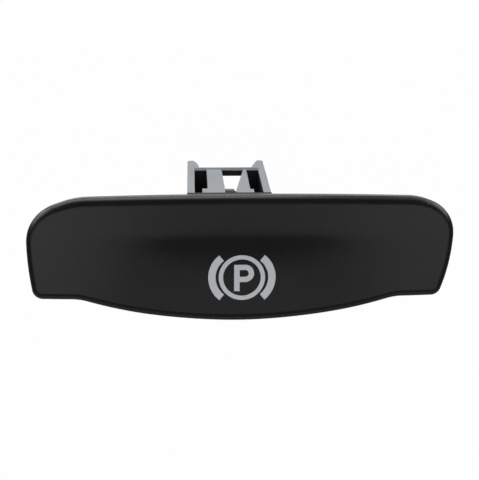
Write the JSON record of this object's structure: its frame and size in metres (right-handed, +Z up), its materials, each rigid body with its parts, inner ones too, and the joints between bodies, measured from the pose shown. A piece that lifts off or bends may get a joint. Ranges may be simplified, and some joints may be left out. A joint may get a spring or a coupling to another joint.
{
  "type": "parking brake release handle",
  "caption": "Wide black pull handle on a short sliding tail, pulled by hand to release a foot-operated parking brake through its cable.",
  "frame": {"origin": "on the tail's middle line, in the plane of the grip's back cover, where the tail leaves the grip", "axes": "+X to the driver's right along the grip's width, +Y into the dashboard along the tail, the way the handle is pushed home, +Z up"},
  "size_m": [0.1123, 0.0559, 0.0339],
  "materials": {
    "grip_black": "fine-grained black moulding with a soft sheen",
    "cover_black": "plain black moulding",
    "core_black": "glass-filled black moulding, dull",
    "guide_grey": "light grey low-friction moulding",
    "screw_steel": "zinc-plated steel",
    "buffer_rubber": "moulded rubber"
  },
  "bodies": {
    "root": {"grip_front_shell": "grip_black", "grip_rear_cover": "cover_black", "tail_core": "core_black", "guide_frame": "guide_grey", "cover_screw_1": "screw_steel", "cover_screw_2": "screw_steel", "cover_screw_3": "screw_steel", "cover_screw_4": "screw_steel", "tail_screw_left": "screw_steel", "tail_screw_right": "screw_steel", "stop_buffer_left": "buffer_rubber", "stop_buffer_right": "buffer_rubber"}
  },
  "joints": []
}
